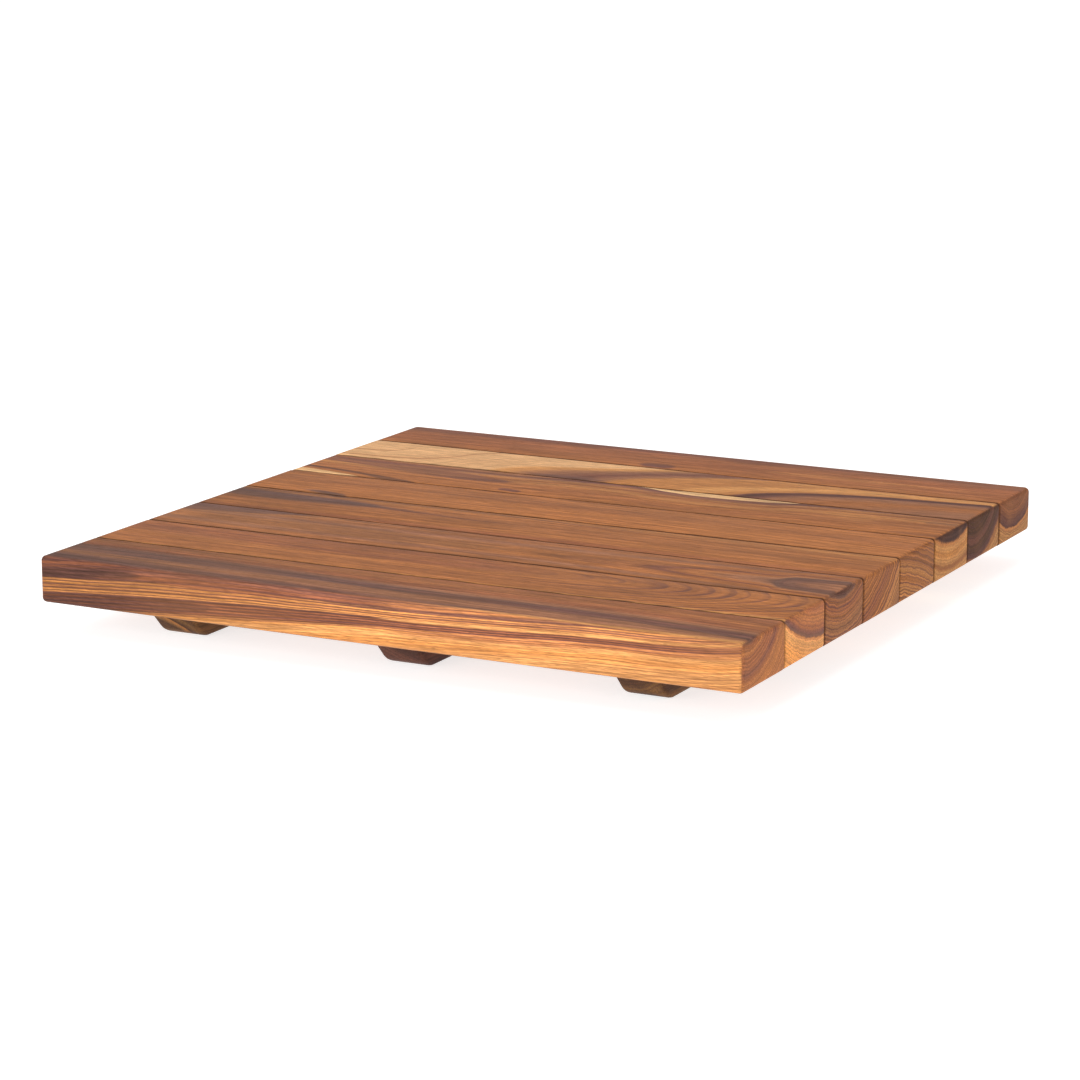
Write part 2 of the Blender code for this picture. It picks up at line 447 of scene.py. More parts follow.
def wood_material(name, size, board, seed, joints=()):
    """Teak cut from one board. size is its length, width and thickness in millimetres, and joints has -1 if
    it meets a neighbour in front and 1 if it meets one behind. Each noise adds its own number to the seed."""
    board = {**LAYER_DEFAULTS, **BOARD_DEFAULTS, **board}
    g = Graph(name)
    g.shader.inputs["Specular IOR Level"].default_value = WOOD_SPECULAR
    length, width, thickness = size
    coordinates = g.node("TexCoord")
    place = g.vector("SCALE", coordinates.outputs["Object"], 1 / MM)
    x, y, z = g.split(place)
    normal_x, normal_y, _ = g.split(coordinates.outputs["Normal"])
    along = g.math("MULTIPLY_ADD", x, 1 / length, 0.5, clamp=True)
    depth = g.math("SUBTRACT", thickness / 2, z)
    swing = g.math("SUBTRACT", g.noise(place, SWING_SIZE, seed), 0.5)
    ripple = g.math("SUBTRACT", g.noise(place, RIPPLE_SIZE, seed + 1), 0.5)
    wobble = g.math("MULTIPLY_ADD", swing, board["swing"], g.math("MULTIPLY", ripple, RIPPLE))
    across = g.math("MULTIPLY_ADD", depth, board["slant"], g.math("ADD", y, wobble))

    colour, lines = long_faces(g, board, place, x, along, across, seed)
    if "front" in board:
        skin = {**LAYER_DEFAULTS, **board["front"]}
        front_colour = front_face(g, skin, x, along, depth, wobble, seed + 5)
        colour = g.mix(g.step(normal_y, *FRONT_NORMAL, 1.0, 0.0), colour, front_colour)
    on_end = g.step(g.math("ABSOLUTE", normal_x), *END_NORMAL)
    colour = g.mix(on_end, colour, end_grain(g, {**END_DEFAULTS, **board["end"]}, place, y, z, ripple, seed))

    fibre = g.noise(place, FIBRE_SIZE, seed + 7, 4.0, 0.7)
    colour = shade(g, colour, fibre, FIBRE)
    colour = shade(g, colour, g.noise(place, HAIR_SIZE, seed + 8, 2.0, 0.5), HAIR)
    pores = g.step(g.noise(place, PORE_SIZE, seed + 9, 1.0), *PORE_RANGE)
    colour = g.mix(g.math("MULTIPLY", pores, PORES), colour, linear(COLOURS["dark"]))
    cast = g.noise(place, CAST_SIZE, seed + 10, 1.0)
    colour = g.mix(g.step(cast, *CAST_RANGE, 0.0, board["cast"]), colour, linear(COLOURS["dull"]))
    ragged = g.math("SUBTRACT", g.noise(place, RAGGED_SIZE, seed + 15, 2.0), 0.5)
    # painted shade and grime darken the wood beside each joint
    colour = shaded_and_grimed(g, colour, y, width, g.math("MULTIPLY", ragged, SHADE_AND_GRIME_RAGGEDNESS), on_end, joints)
    g.feed(g.shader.inputs["Base Color"], g.mix(1.0, colour, g.curve(along, board["light"]), "MULTIPLY"))

    rough = g.math("MULTIPLY_ADD", on_end, END_ROUGHNESS, WOOD_ROUGHNESS)
    rough = g.math("MULTIPLY_ADD", pores, PORE_ROUGHNESS, rough)
    g.feed(g.shader.inputs["Roughness"], g.math("MULTIPLY_ADD", fibre, FIBRE_ROUGHNESS, rough))
    relief = g.math("MULTIPLY_ADD", pores, PORE_RELIEF, g.math("MULTIPLY", fibre, FIBRE_RELIEF))
    g.bump(g.math("MULTIPLY_ADD", lines, LINE_RELIEF, relief), RELIEF_STRENGTH, RELIEF_HEIGHT)
    return g.material


# How each slat looks, from the front to the back. Places along a slat are fractions of its length from the
# left end (0) to the right end (1). Places across it are millimetres from its middle towards the back, and on
# slat 1's front face millimetres below the top.
#   short, low   how far its ends stop inside the mat's, and how far its top lies below the mat's, in mm
#   course       the line its growth layers follow, or centre and arch: the pith's place, and its depth below
#   bands        (distance from that line or pith in mm, colour) stops
#   slant        how far the figure moves across for each mm down into the board
#   swing        how far the layers wander from the course, in mm
#   spacing, onset, lines   distance of the yearly lines in mm, where in a year each starts, and strength
#   ringed       the stretch over which the lines grow to their full strength
#   layers, layer_size      strength of the fine layers and their size in mm
#   tone, ribbon, cast      strength of the reddish patches, of the long ribbons and of the grey cast
#   light        brightness along the slat
#   streaks      a stain each: (course, half width along the slat, softness in mm, colour, strength)
#   front        a front face of its own. spread: how widely its layers lie. fade: the bands between which its
#                lines weaken. wobble: how much of the slat's own wandering it shares
#   end          the end grain: centre of its rings, across and up from the slat's middle, bands by their
#                radius in mm, and its brightness: painted light, brighter on the front slats' ends and darker
#                    on the back ones
SLATS = [
    {   # 1: reddish brown, two grey streaks that drift to the front, and a boldly striped front face
        "short": (0.3, 0.0), "low": 0.0, "slant": 0.2, "lines": 0.35, "tone": 0.3,
        "light": ((0, 0.75), (0.3, 0.88), (0.5, 0.97), (1, 1.03)),
        "course": ((0, 0), (0.3, -1.7), (0.5, -4.5), (0.75, -5.7), (0.9, -9), (1, -14)),
        "bands": ((-60, "orange"), (-34, "clay"), (-26, "purple"), (-20, "mist"), (-14, "clay"),
                  (-6, "clay"), (-3.5, "mist"), (3, "mist"), (8, "clay"), (14, "red"), (24, "heart"),
                  (34, "red"), (60, "heart")),
        "streaks": (
            (((0, 4), (0.3, 2), (0.6, -4), (1, -10)), ((0, 6), (0.3, 5), (0.5, 3), (0.7, 2), (1, 1)), 5,
             "mist", 0.75),
            (((0, -20), (0.2, -22), (0.45, -26), (1, -34)), ((0, 6), (0.2, 5), (0.45, 2), (1, -3)), 4,
             "mist", 0.95),
            (((0, -11), (0.25, -12), (1, -19)), ((0, 0.6), (0.25, 0.2), (1, -3)), 1, "tan", 0.6),
            (((0, -28), (0.5, -28), (1, -26)), ((0, -4), (0.5, -1), (0.72, 3), (1, 3.5)), 2, "gold", 0.85),
            (((0, 2), (0.6, -5), (0.85, -7), (1, -12)), ((0, -2), (0.5, 0.5), (0.75, 2.2), (1, 1.5)), 2.5,
             "plum", 0.75),
        ),
        "front": {
            "spacing": 1.6, "onset": 0.42, "lines": 0.95, "fade": (2, 6), "layers": 0.4, "layer_size": 1.2,
            "tone": 0.2, "wobble": 0.3,
            "light": ((0, 0.85), (0.15, 0.95), (0.3, 0.99), (0.45, 1.12), (0.6, 1.17), (1, 1.08)),
            "course": ((0, 26), (0.1, 23.5), (0.2, 20.8), (0.3, 18.6), (0.4, 16.2), (0.5, 14.2), (0.6, 12.9),
                       (0.7, 11), (0.8, 8.8), (0.9, 7.8), (1, 3.6)),
            "spread": ((0, 1.5), (0.2, 1.5), (0.3, 1.4), (0.4, 1.15), (0.5, 1.0), (0.67, 0.95), (1, 0.95)),
            "bands": ((-30, "rust"), (-20.5, "purple"), (-19, "rust"), (-16.5, "purple"), (-15, "rust"),
                      (-12.6, "purple"), (-11.4, "rust"), (-10, "rust"), (-9, "dark"), (-8.3, "amber"),
                      (-6.6, "amber"), (-5.6, "orange"), (-5.2, "dark"), (-4.8, "amber"), (-3.6, "amber"),
                      (-3, "plum"), (-2.4, "dark"), (-1.8, "rust"), (-1.2, "dark"), (-0.5, "rust"),
                      (0.2, "dark"), (0.9, "rust"), (1.5, "dark"), (2.1, "rust"), (2.7, "dark"),
                      (3.3, "amber"), (6, "gold"), (10, "amber"), (16, "gold"), (30, "amber")),
            "streaks": (
                (((0, 10), (0.05, 8.2), (0.083, 6.6), (0.11, 5.4), (1, 6)),
                 ((0, 2.4), (0.05, 2.8), (0.1, 2.9), (0.15, 1), (0.2, -3), (1, -3)), 1.5, "dark", 0.92),
                (((0, 7), (0.15, 6.5), (0.25, 7.3), (0.4, 6.6), (1, 6)),
                 ((0, -3), (0.13, -2), (0.2, 1.1), (0.35, 0.9), (0.45, -1), (1, -3)), 0.8, "rust", 0.8),
                (((0, 26), (0.1, 23.5), (0.2, 20.8), (0.3, 18.6), (1, 4)),
                 ((0, 2), (0.06, 3), (0.2, 3.4), (0.26, 1), (0.32, -3), (1, -4)), 1.5, "dark", 0.62),
                (((0, 1), (0.15, 2), (0.3, 3), (1, 2)), ((0, 1.5), (0.3, 2), (0.6, 0), (1, -3)), 2, "purple",
                 0.45),
                (((0, 3), (0.5, 3), (1, 0)), ((0, -8), (0.42, -5), (0.6, 4), (1, 4)), 3, "orange", 0.6),
                (((0, 28), (0.4, 19.6), (0.5, 17.4), (0.6, 16), (0.7, 14.2), (0.8, 12), (0.9, 11), (1, 6.8)),
                 ((0, -3), (0.4, -2), (0.52, 0.8), (1, 1.2)), 0.8, "orange", 0.8),
                (((0, 24), (0.4, 13.8), (0.5, 11.6), (0.6, 10.4), (0.7, 8.5), (0.8, 6.3), (0.9, 5.2),
                  (1, 1.0)), ((0, -3), (0.42, -2), (0.55, 0.5), (1, 0.6)), 0.6, "gold", 0.85),
                (((0, 22), (0.5, 19), (0.56, 18.3), (0.64, 16.6), (0.75, 14.8), (0.83, 12), (0.92, 11.4),
                  (1, 8.5)), ((0, -3), (0.5, -1), (0.58, 1.0), (0.75, 1.3), (0.9, 0.8), (1, 0.2)), 1.2,
                 "rust", 0.55),
                (((0, 9), (0.4, 6.8), (0.5, 6), (0.6, 4.6), (0.68, 3.3), (0.78, 1.5), (1, -3)),
                 ((0, -2), (0.35, -1), (0.45, 0.35), (1, 0.35)), 0.5, "plum", 0.95),
                (((0, 11), (0.4, 10.6), (0.5, 9.2), (0.6, 8), (0.7, 6), (0.8, 3.9), (0.9, 2.8), (1, -1)),
                 ((0, -2), (0.4, -1), (0.55, 0.25), (0.75, 0.4), (1, 0.35)), 0.5, "purple", 0.9),
            ),
        },
        "end": {
            "painted_light": 1.2, "centre": (-21, 44), "lines": 0.5,
            "bands": ((0, "grey"), (30.5, "grey"), (33, "red"), (36, "heart"), (39, "red"), (44, "red"),
                      (48.5, "purple"), (50.5, "red"), (54, "heart"), (58, "warm"), (75, "heart")),
        },
    },
    {   # 2: even orange brown with nested arches at its right end
        "short": (0.0, 0.3), "low": 0.08, "centre": 13, "swing": 3.0, "spacing": 3.4, "lines": 0.85,
        "ringed": (0.55, 0.75), "layers": 0.2, "tone": 0.3, "light": ((0, 0.97), (1, 1)),
        "arch": ((0, 14), (0.3, 12), (0.5, 12), (0.6, 16), (0.75, 24), (0.85, 32.5), (0.9, 39.5),
                 (0.965, 48), (1, 53)),
        "bands": ((0, "heart"), (8, "warm"), (14, "red"), (20, "warm"), (30, "heart"), (40, "warm"),
                  (60, "warm")),
        "streaks": (
            (((0, 26), (0.5, 25), (1, 30)), ((0, 0.5), (0.5, 0.4), (1, -3)), 1.2, "plum", 0.6),
            (((0, -28), (0.7, -27.5), (1, -26)), ((0, 0.5), (0.7, 0.8), (1, 2.2)), 1.5, "gold", 0.7),
            (((0, 24), (0.66, 16), (0.72, 18), (0.8, 16), (1, 10)),
             ((0, -4), (0.64, -3), (0.7, 2.5), (0.78, 2), (0.84, -3), (1, -4)), 3, "purple", 0.5),
        ),
        "end": {
            "painted_light": 1.42, "centre": (27, 87), "lines": 0.4, "layers": 0.18,
            "bands": ((0, "red"), (60, "red"), (70, "heart"), (76, "red"), (82, "heart"), (87, "red"),
                      (90, "plum"), (92, "grey"), (93.6, "orange"), (95.5, "gold"), (105, "amber"),
                      (130, "gold")),
        },
    },
    {   # 3: greyish middle, a grey corner at the back left, and a dark tongue at the right end
        "short": (0.35, 0.15), "low": 0.0, "centre": -2, "swing": 3.0, "spacing": 3.4, "lines": 0.3,
        "tone": 0.25, "light": ((0, 1.01), (1, 1)),
        "arch": ((0, 27), (0.5, 25), (0.7, 23), (0.74, 22), (0.85, 18.4), (0.9, 17.2), (0.925, 11), (1, 5)),
        "bands": ((0, "clay"), (7, "clay"), (12.5, "mist"), (16.4, "grey"), (18.3, "clay"), (20.5, "warm"),
                  (22, "purple"), (23.2, "heart"), (26, "warm"), (29, "clay"), (34, "heart"), (38, "dull"),
                  (70, "warm")),
        "streaks": (
            (((0, 18), (0.1, 21), (0.2, 27), (1, 40)), ((0, 9), (0.1, 7), (0.17, 3), (0.25, -4), (1, -4)), 3,
             "mist", 0.95),
            (((0, 6), (0.1, 13), (0.2, 22), (0.3, 28), (1, 40)), ((0, 1), (0.2, 0.8), (0.3, -1), (1, -3)), 1,
             "tan", 0.5),
            (((0, 2), (0.3, -2), (0.6, 0), (1, 0)), ((0, -6), (0.2, 8), (0.4, 10), (0.6, -4), (1, -6)), 6,
             "dull", 0.6),
        ),
        "end": {
            "painted_light": 1.05, "centre": (-1, 60), "lines": 0.85, "layers": 0.4,
            "bands": ((0, "red"), (44, "red"), (47.5, "dark"), (50, "grey"), (52, "heart"), (57, "red"),
                      (62, "heart"), (68, "dull"), (80, "red")),
        },
    },
    {   # 4: a grey-purple patch along the back at the left, then uniform
        "short": (0.1, 0.0), "low": 0.1, "spacing": 2.6, "lines": 0.22, "tone": 0.25,
        "light": ((0, 0.75), (0.3, 0.93), (0.5, 1), (1, 1)), "course": ((0, 0), (0.5, 2), (1, -3)),
        "bands": ((-60, "red"), (-28, "red"), (-16, "warm"), (0, "heart"), (14, "warm"), (28, "tan"),
                  (60, "heart")),
        "streaks": (
            (((0, 13), (0.08, 12), (0.2, 12), (0.3, 9), (1, 4)),
             ((0, 9), (0.1, 9), (0.2, 6.5), (0.3, 0), (1, -6)), 4, "mist", 1.0),
            (((0, 12), (0.2, 9), (0.42, 4), (1, 0)), ((0, -2), (0.2, 0.9), (0.42, 0.6), (0.5, -2), (1, -3)),
             1.1, "plum", 0.85),
            (((0, 24), (0.3, 25), (0.6, 20), (1, 16)),
             ((0, 0.8), (0.3, 1.0), (0.6, 0.6), (0.75, -2), (1, -3)), 1.0, "plum", 0.75),
            (((0, 26.5), (1, 26.5)), ((0, -4), (0.13, -3), (0.16, 1.5), (0.19, -3), (1, -4)), 1.5, "dark",
             0.9),
        ),
        "end": {
            "painted_light": 0.97, "centre": (-50, 70), "lines": 0.85, "layers": 0.4,
            "bands": ((0, "red"), (75, "warm"), (84, "red"), (91, "warm"), (93.5, "warm"), (94.8, "dark"),
                      (96, "orange"), (100, "tan"), (112, "dull")),
        },
    },
    {   # 5: straight, fine grain and a dark spot at the front
        "short": (0.0, 0.25), "low": 0.0, "swing": 3.0, "spacing": 2.2, "lines": 0.2, "tone": 0.25,
        "light": ((0, 0.98), (0.5, 1.03), (1, 1.12)), "course": ((0, 0), (0.5, 4), (1, -4)),
        "bands": ((-60, "heart"), (-28, "warm"), (-10, "warm"), (6, "heart"), (20, "warm"), (60, "warm")),
        "streaks": (
            (((0, -20), (0.1, -22), (0.17, -27), (1, -50)),
             ((0, -3), (0.05, -2), (0.1, 1), (0.13, 3.5), (0.16, 2), (0.2, -3), (1, -4)), 2, "grey", 0.9),
        ),
        "end": {
            "painted_light": 0.8, "centre": (-60, -190), "spacing": 2.6, "lines": 0.85, "layers": 0.4,
            "bands": ((0, "warm"), (180, "warm"), (188, "tan"), (194, "warm"), (200, "tan"), (206, "heart"),
                      (222, "warm")),
        },
    },
    {   # 6: purple lens at the left, a pale sliver and dark layers hanging from the back joint
        "short": (0.4, 0.1), "low": 0.08, "swing": 2.0, "spacing": 3.0, "lines": 0.35, "tone": 0.35,
        "light": ((0, 1.12), (0.35, 1.05), (0.6, 1), (1, 1)),
        "course": ((0, 0), (0.3, -4), (0.45, 1), (0.56, -6), (0.63, -9), (0.7, -7), (0.8, 3), (1, 6)),
        "bands": ((-60, "warm"), (-20, "warm"), (-8, "heart"), (0, "warm"), (8, "tan"), (14, "heart"),
                  (19, "tan"), (20.5, "clay"), (23.5, "purple"), (26.5, "plum"), (28, "pale"), (60, "pale")),
        "streaks": (
            (((0, 28), (0.3, 27), (0.5, 34), (1, 30)),
             ((0, 6), (0.3, 5), (0.48, 3), (0.52, -2), (0.74, -2), (0.8, 2), (1, 5)), 3, "red", 0.9),
            (((0, 18), (0.1, 14), (0.2, 8), (0.3, 3), (1, 0)),
             ((0, 5), (0.1, 8), (0.2, 10), (0.28, 6), (0.33, 1), (0.36, -3), (1, -4)), 1.5, "purple", 0.75),
            (((0, 8), (0.1, 3), (0.2, -2), (0.3, 0), (1, 0)),
             ((0, -1), (0.22, 1), (0.28, 4.5), (0.32, 3), (0.35, -3), (1, -4)), 2, "plum", 0.7),
            (((0, -10), (0.1, -17), (0.15, -23), (0.2, -28), (1, -60)),
             ((0, 3), (0.1, 2.2), (0.15, 4), (0.2, 2), (0.25, -2), (1, -4)), 1.5, "dark", 0.85),
            (((0, -24), (0.1, -28), (0.2, -34), (1, -60)),
             ((0, 6), (0.06, 4.5), (0.11, 2), (0.14, -2), (1, -4)), 1, "pale", 0.95),
            (((0, -20), (0.34, -20), (0.37, -22), (1, -20)),
             ((0, -6), (0.325, -3), (0.34, 3), (0.36, 3.2), (0.38, -3), (1, -6)), 1.6, "plum", 0.85),
            (((0, 10), (0.83, 10), (0.87, 6), (1, 6)),
             ((0, -12), (0.78, -8), (0.84, 9), (0.87, 8), (0.91, -8), (1, -12)), 6, "tan", 0.6),
            (((0, 16), (0.5, 15.5), (0.6, 13), (0.69, 13.7), (0.78, 19), (0.9, 26), (1, 27)),
             ((0, -4), (0.46, -2), (0.52, 2.5), (0.6, 3.4), (0.7, 3.6), (0.79, 2), (0.85, -1), (1, -4)), 2.5,
             "purple", 0.4),
            (((0, 13), (1, 13)), ((0, -4), (0.94, -3), (0.96, 4), (0.985, 4), (1, 3)), 3, "mist", 0.45),
            (((0, -21), (1, -21)), ((0, -4), (0.9, -3), (0.94, 2.5), (1, 3)), 3, "mist", 0.35),
        ),
        "end": {
            "painted_light": 0.84, "centre": (3, 74), "lines": 0.2, "layers": 0.16,
            "bands": ((0, "umber"), (60, "dark"), (66.5, "dark"), (68.2, "orange"), (71, "gold"),
                      (75, "amber"), (79, "gold"), (83, "heart"), (86, "gold"), (110, "tan")),
        },
    },
    {   # 7: blond sapwood with loops, a purple band across, orange, and a brown tongue with a dark edge
        "short": (0.1, 0.3), "low": 0.0, "centre": -35, "slant": 0.3, "swing": 4.0, "spacing": 4.0,
        "lines": 0.15, "layers": 0.14, "tone": 0.12, "ribbon": 0.12, "cast": 0.1,
        "light": ((0, 1), (1, 1.02)),
        "arch": ((0, 117), (0.05, 117), (0.165, 112), (0.21, 104), (0.28, 94), (0.42, 83), (0.5, 73),
                 (0.58, 62), (0.66, 51.5), (0.76, 37), (0.82, 29), (0.9, 21), (1, 5)),
        "bands": ((0, "clay"), (20, "clay"), (36, "heart"), (46, "clay"), (49.5, "plum"), (51.5, "dark"),
                  (53, "plum"), (55, "tan"), (60, "gold"), (68, "tan"), (76, "tan"), (79, "tan"),
                  (82, "clay"), (86, "purple"), (90, "clay"), (95, "gold"), (98, "blond"), (160, "blond")),
        "streaks": (
            (((0, -4), (0.055, -1), (0.075, 6), (0.088, 20), (0.11, 60), (1, 60)),
             ((0, 1.0), (0.08, 1.6), (1, 1)), 1.2, "loop", 0.8),
            (((0, -21), (0.11, -17), (0.155, -7), (0.19, 15), (0.22, 28), (0.26, 60), (1, 60)),
             ((0, 0.6), (0.15, 1.8), (1, 1)), 1.4, "loop", 0.8),
            (((0, 22), (0.6, 28), (0.75, 22), (1, 21)), ((0, -4), (0.6, -2), (0.7, 1.6), (1, 1.2)), 1.5,
             "gold", 0.8),
            (((0, 27.5), (0.6, 28), (1, 27)), ((0, -4), (0.5, -2), (0.6, 1.5), (1, 1.5)), 1.2, "red", 0.7),
            (((0, -28), (0.3, -26), (0.4, -25), (1, -30)),
             ((0, -4), (0.3, -2), (0.36, 5), (0.41, 6), (0.46, -3), (1, -4)), 4, "mist", 0.7),
        ),
        "end": {
            "painted_light": 0.68, "centre": (-14, 40),
            "bands": ((0, "purple"), (36, "umber"), (41, "purple"), (46, "umber"), (52, "plum"),
                      (54.5, "orange"), (59, "gold"), (75, "gold")),
        },
    },
    {   # 8: reddish brown with a dark spot at the front
        "short": (0.25, 0.0), "low": 0.05, "spacing": 2.6, "lines": 0.25, "tone": 0.4,
        "light": ((0, 1.03), (0.5, 1.08), (1, 1.15)), "course": ((0, 0), (0.5, 3), (1, -2)),
        "bands": ((-60, "red"), (-28, "heart"), (-8, "red"), (6, "red"), (20, "purple"), (28, "red"),
                  (60, "heart")),
        "streaks": (
            (((0, -14), (0.42, -18), (0.47, -20), (1, -20)),
             ((0, -7), (0.42, -5), (0.455, 6), (0.475, 6), (0.51, -5), (1, -7)), 4, "plum", 1.0),
            (((0, -6), (0.6, -5), (0.8, -4), (1, -6)), ((0, -6), (0.58, -3), (0.7, 5), (0.85, 3), (1, -4)),
             4, "tan", 0.45),
        ),
        "end": {
            "painted_light": 0.63, "centre": (-1.5, 43.7),
            "bands": ((0, "red"), (28, "purple"), (34, "red"), (40, "red"), (46, "purple"), (49, "plum"),
                      (50.5, "orange"), (54, "gold"), (70, "tan")),
        },
    },
]

# Under the mat: olive with a golden streak across the left batten's end, purple brown, and olive brown,
# all painted darker (light 0.55 to 0.65) as painted shade from the slats above
BATTEN_LOOKS = {
    "left": {
        "slant": 1.0, "spacing": 2.0, "lines": 0.4, "tone": 0.1, "cast": 0.1, "light": ((0, 0.6), (1, 0.6)),
        "course": ((0, 0), (0.5, 2), (1, -2)),
        "bands": ((-60, "olive"), (-14, "umber"), (-4, "olive"), (3, "olive"), (9, "umber"), (14, "olive"),
                  (60, "olive")),
        "end": {
            "centre": (27, -32), "lines": 0.4,
            "bands": ((0, "umber"), (37, "umber"), (39, "olive"), (40, "amber"), (41.4, "amber"),
                      (42.6, "umber"), (47, "olive"), (52, "umber"), (80, "umber")),
        },
    },
    "centre": {
        "slant": 1.0, "spacing": 2.2, "lines": 0.35, "tone": 0.1, "cast": 0.1,
        "light": ((0, 0.55), (1, 0.55)), "course": ((0, 2), (0.5, -2), (1, 1)),
        "bands": ((-60, "purple"), (-12, "dark"), (-3, "purple"), (4, "plum"), (11, "purple"),
                  (60, "purple")),
        "end": {
            "centre": (-16, 26), "lines": 0.4,
            "bands": ((0, "dark"), (20, "plum"), (27, "dark"), (33, "purple"), (60, "plum")),
        },
    },
    "right": {
        "slant": 1.0, "spacing": 2.4, "lines": 0.4, "tone": 0.1, "cast": 0.1,
        "light": ((0, 0.65), (1, 0.65)), "course": ((0, -1), (0.5, 1), (1, 3)),
        "bands": ((-60, "umber"), (-10, "olive"), (-2, "umber"), (5, "olive"), (12, "umber"), (60, "olive")),
        "end": {
            "centre": (8, 24), "lines": 0.5,
            "bands": ((0, "umber"), (16, "olive"), (24, "umber"), (31, "olive"), (60, "umber")),
        },
    },
}


# ---- shapes

def new_object(name, mesh, place=(0.0, 0.0, 0.0)):
    thing = bpy.data.objects.new(name, mesh)
    thing.location = place
    bpy.context.scene.collection.objects.link(thing)
    return thing


def middle_of(vertices):
    start, end = vertices
    return (start.co + end.co) / 2


def box_mesh(name, length, width, height, chamfer=0.0):
    """A box centred on its origin. A chamfer cuts the edges under its two ends along X."""
    mesh = bpy.data.meshes.new(name)
    shape = bmesh.new()
    bmesh.ops.create_cube(shape, size=1.0, matrix=Matrix.Diagonal((length, width, height, 1.0)))
    if chamfer:
        under_ends = [edge for edge in shape.edges
                      if middle_of(edge.verts).z < -height / 4 and abs(middle_of(edge.verts).x) > length / 4]
        bmesh.ops.bevel(shape, geom=under_ends, offset=chamfer, offset_type="OFFSET", segments=1, profile=0.5,
                        affect="EDGES")
    shape.to_mesh(mesh)
    shape.free()
    return mesh


def weight_edges(mesh, weight_of):
    """Give each edge the bevel weight that weight_of returns for its middle."""
    weights = mesh.attributes.new("bevel_weight_edge", "FLOAT", "EDGE")
    for edge in mesh.edges:
        middle = middle_of([mesh.vertices[index] for index in edge.vertices])
        weights.data[edge.index].value = weight_of(middle)


def add_bevel(thing, name, width, segments, limit):
    bevel = thing.modifiers.new(name, "BEVEL")
    bevel.width = width
    bevel.segments = segments
    bevel.limit_method = limit
    bevel.angle_limit = math.radians(ROUNDED_FROM)


def add_screw_ways(thing, cutters):
    holes = thing.modifiers.new("screw_ways", "BOOLEAN")
    holes.operation = "DIFFERENCE"
    holes.operand_type = "COLLECTION"
    holes.collection = cutters


def apply_modifiers(thing):
    bpy.context.view_layer.update()
    evaluated = thing.evaluated_get(bpy.context.evaluated_depsgraph_get())
    mesh = bpy.data.meshes.new_from_object(evaluated)
    mesh.name = thing.data.name
    thing.modifiers.clear()
    thing.data = mesh


def smooth(mesh, angle):
    mesh.shade_smooth()
    mesh.set_sharp_from_angle(angle=math.radians(angle))


def box_of(node):
    """The middle and the size of a node's box."""
    low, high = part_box(node)
    return (low + high) / 2, high - low


def ring_angles():
    return [2 * math.pi * index / RING_POINTS for index in range(RING_POINTS)]


def lofted_mesh(name, rings):
    """A closed body through rings of (radius at each of RING_POINTS angles, height) that start and end in a
    point."""
    mesh = bpy.data.meshes.new(name)
    shape = bmesh.new()
    first = shape.verts.new((0.0, 0.0, rings[0][1]))
    loops = [[shape.verts.new((radius * math.cos(angle), radius * math.sin(angle), height))
              for radius, angle in zip(radii, ring_angles())] for radii, height in rings[1:-1]]
    last = shape.verts.new((0.0, 0.0, rings[-1][1]))
    for index in range(RING_POINTS):
        after = (index + 1) % RING_POINTS
        shape.faces.new((first, loops[0][after], loops[0][index]))
        for lower, upper in zip(loops, loops[1:]):
            shape.faces.new((lower[index], lower[after], upper[after], upper[index]))
        shape.faces.new((last, loops[-1][index], loops[-1][after]))
    bmesh.ops.recalc_face_normals(shape, faces=shape.faces)
    shape.to_mesh(mesh)
    shape.free()
    return mesh


def circle(radius):
    return [radius] * RING_POINTS


def square(half_width):
    return [half_width / max(abs(math.cos(angle)), abs(math.sin(angle))) for angle in ring_angles()]


def thread_ring(radius, height):
    """A ring of the thread, whose crest climbs by a pitch in each turn."""
    radii = []
    for index in range(RING_POINTS):
        turn = (height / THREAD_PITCH - index / RING_POINTS) % 1.0
        radii.append(radius - THREAD_DEPTH * min(1.0, THREAD_FLANK * abs(turn - 0.5)))
    return radii


def screw_mesh(head_diameter, length):
    """A countersunk wood screw, head down: a tapered square socket, a flat face, a cone and a thread."""
    head, shank, drive = head_diameter / 2, SCREW_SHANK / 2, DRIVE_WIDTH / 2
    neck = HEAD_RIM + head - shank
    rings = [
        (None, DRIVE_DEPTH * DRIVE_TIP),
        *((square(drive * wide), DRIVE_DEPTH * deep) for wide, deep in DRIVE_TAPER),
        (square(drive), DRIVE_LIP),
        (square(drive * DRIVE_RIM), 0.0),
        (circle(drive * DRIVE_FLAT), 0.0),
        (circle(head - HEAD_FACE_EDGE), 0.0),
        (circle(head - HEAD_CORNER), HEAD_CORNER),
        (circle(head), HEAD_RIM),
        (circle(shank * NECK_WIDTH), neck - shank * (NECK_WIDTH - 1)),
        (circle(shank), neck),
        (circle(shank - THREAD_DEPTH / 2), neck + THREAD_ROOT_START),
    ]
    bottom, top = neck + THREAD_START, length - SCREW_POINT_LENGTH
    for index in range(THREAD_RINGS):
        height = bottom + (top - bottom) * index / (THREAD_RINGS - 1)
        rings.append((thread_ring(shank, height), height))
    for index in range(1, POINT_RINGS):
        part = index / POINT_RINGS
        height = top + SCREW_POINT_LENGTH * part
        shrink = (1 - part) ** POINT_BLUNTNESS
        rings.append(([radius * shrink for radius in thread_ring(shank, height)], height))
    rings.append((None, length))
    return lofted_mesh("screw", rings)


def screw_way_mesh(head_diameter, length):
    """The hole that a screw lies in, larger by the clearance and open below."""
    way = SCREW_SHANK / 2 + SCREW_CLEARANCE
    sink = head_diameter / 2 + SCREW_CLEARANCE
    top = length + SCREW_CLEARANCE
    return lofted_mesh("screw_way", [
        (None, -SCREW_WAY_BELOW), (circle(sink), -SCREW_WAY_BELOW), (circle(sink), SCREW_WAY_RIM),
        (circle(way), SCREW_WAY_RIM + sink - way), (circle(way), top), (None, top)])


